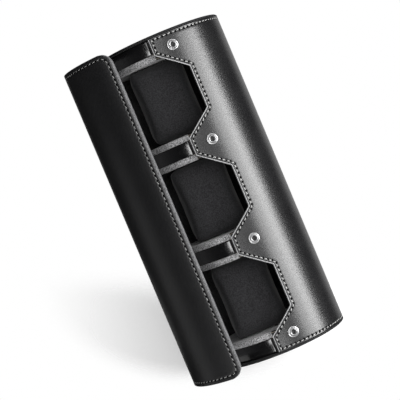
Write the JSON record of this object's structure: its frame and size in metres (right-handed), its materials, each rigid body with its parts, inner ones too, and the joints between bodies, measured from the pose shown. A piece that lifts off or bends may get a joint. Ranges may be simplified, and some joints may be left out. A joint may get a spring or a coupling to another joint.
{
  "type": "watch travel case",
  "caption": "Round leather travel roll that stands on one end: suede compartments with slide-out cushions behind a curved snap-down flap on a leather hinge.",
  "frame": {"origin": "centre of the lower round end's outer face", "axes": "+Z along the tube towards the upper round end, -Y towards the front where the cushions come out, +X towards the snap panel"},
  "size_m": [0.1181, 0.121, 0.24],
  "materials": {
    "shell_leather": "smooth black leather, semi-gloss, fine grain",
    "flap_leather": "smooth black leather, semi-gloss, fine grain",
    "end_leather": "black leather, semi-gloss",
    "band_leather": "glossy black leather",
    "suede_grey": "grey microfibre suede with a short nap",
    "suede_dark": "charcoal microfibre suede with a short nap",
    "board": "grey-brown fibreboard",
    "foam": "dark foam",
    "snap_metal": "polished nickel plate"
  },
  "bodies": {
    "case": {"base_cap_cover": "end_leather", "base_cap_board": "board", "top_cap_cover": "end_leather", "top_cap_board": "board", "shell_cover": "shell_leather", "shell_board": "board", "shell_lining": "suede_grey", "hinge_strip": "flap_leather", "base_spacer": "foam", "base_band": "band_leather", "top_spacer": "foam", "top_band": "band_leather", "lower_divider_core": "foam", "lower_divider_band": "band_leather", "upper_divider_core": "foam", "upper_divider_band": "band_leather", "wall_1_low_suede": "suede_grey", "wall_1_low_board": "board", "wall_1_high_suede": "suede_grey", "wall_1_high_board": "board", "wall_2_low_suede": "suede_grey", "wall_2_low_board": "board", "wall_2_high_suede": "suede_grey", "wall_2_high_board": "board", "wall_3_low_suede": "suede_grey", "wall_3_low_board": "board", "wall_3_high_suede": "suede_grey", "wall_3_high_board": "board", "snap_studs": "snap_metal", "stud_rivets": "snap_metal"},
    "flap": {"flap_cover": "flap_leather", "flap_board": "board", "flap_lining": "suede_grey", "snap_sockets": "snap_metal", "socket_backs": "snap_metal"},
    "cushion_1": {"cushion_1_cover": "suede_dark", "cushion_1_foam": "foam"},
    "cushion_2": {"cushion_2_cover": "suede_dark", "cushion_2_foam": "foam"},
    "cushion_3": {"cushion_3_cover": "suede_dark", "cushion_3_foam": "foam"}
  },
  "joints": [
    {"name": "flap_hinge", "type": "hinge", "parent": "case", "child": "flap", "pos_m": [-0.04671, 0.01608, 0.12], "axis": [0, 0, -1], "range_deg": [-38, 75], "deforming": ["hinge_strip"]},
    {"name": "cushion_1_slide", "type": "slide", "parent": "case", "child": "cushion_1", "axis": [0, -1, 0], "range_m": [0, 0.11], "deforming": ["cushion_1_cover", "cushion_1_foam"]},
    {"name": "cushion_2_slide", "type": "slide", "parent": "case", "child": "cushion_2", "axis": [0, -1, 0], "range_m": [0, 0.11], "deforming": ["cushion_2_cover", "cushion_2_foam"]},
    {"name": "cushion_3_slide", "type": "slide", "parent": "case", "child": "cushion_3", "axis": [0, -1, 0], "range_m": [0, 0.11], "deforming": ["cushion_3_cover", "cushion_3_foam"]}
  ]
}
